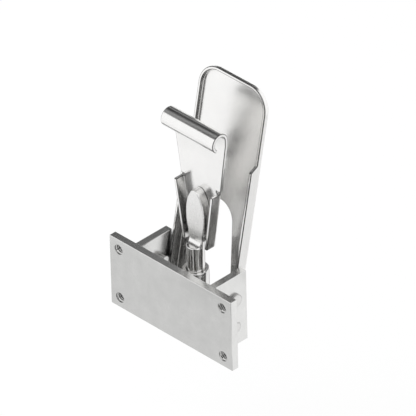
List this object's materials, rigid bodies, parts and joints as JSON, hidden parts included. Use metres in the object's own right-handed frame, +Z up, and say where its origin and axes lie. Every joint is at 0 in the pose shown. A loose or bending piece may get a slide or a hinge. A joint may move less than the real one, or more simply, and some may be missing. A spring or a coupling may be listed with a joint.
{
  "type": "paddle latch",
  "caption": "Plate-mounted over-centre paddle latch: a sheet handle pulls a rolled hook plate down through a spring-loaded rod.",
  "frame": {"origin": "centre of the mounting plate's face, on the side away from the arms", "axes": "+Z up along the closed handle, +Y from the mounting face towards the arms, +X to the right seen from in front of the mounting face"},
  "size_m": [0.1, 0.0594, 0.1543],
  "materials": {
    "frame_steel": "satin stainless steel",
    "sheet_steel": "polished stainless sheet",
    "turned_steel": "turned and polished stainless steel",
    "hardware_steel": "plain stainless steel",
    "spring_steel": "drawn spring wire",
    "bush_bronze": "oiled sintered bronze"
  },
  "bodies": {
    "base": {"mounting_plate": "frame_steel", "left_arm": "frame_steel", "right_arm": "frame_steel", "pivot_rivet_left": "hardware_steel", "pivot_rivet_right": "hardware_steel", "stop_pin_left": "hardware_steel", "stop_pin_right": "hardware_steel"},
    "handle": {"paddle": "sheet_steel", "pivot_bush_left": "bush_bronze", "pivot_bush_right": "bush_bronze", "link_pin": "hardware_steel", "link_pin_clip_left": "hardware_steel", "link_pin_clip_right": "hardware_steel", "spacer_sleeve_left": "hardware_steel", "spacer_sleeve_right": "hardware_steel"},
    "barrel": {"barrel_tube": "turned_steel", "guide_cap": "turned_steel", "barrel_eye": "turned_steel", "spring_washer": "hardware_steel", "spring": "spring_steel"},
    "hook": {"draw_rod": "turned_steel", "hook_plate": "sheet_steel", "spring_seat": "hardware_steel", "rod_nut": "hardware_steel"}
  },
  "joints": [
    {"name": "handle_pivot", "type": "hinge", "parent": "base", "child": "handle", "pos_m": [0, 0.0205, -0.012], "axis": [-1, 0, 0], "range_deg": [-6.5, 110]},
    {"name": "link_pivot", "type": "hinge", "parent": "handle", "child": "barrel", "pos_m": [0, 0.021, -0.02], "axis": [-1, 0, 0], "range_deg": [-96, 6]},
    {"name": "hook_slide", "type": "slide", "parent": "barrel", "child": "hook", "axis": [0, 0, 1], "range_m": [0, 0.004], "stiffness_N_per_m": 6000, "springref_m": -0.004, "deforming": ["spring"]}
  ],
  "couplings": [
    {"joint": "link_pivot", "follows": "handle_pivot", "ratio": -0.87}
  ]
}
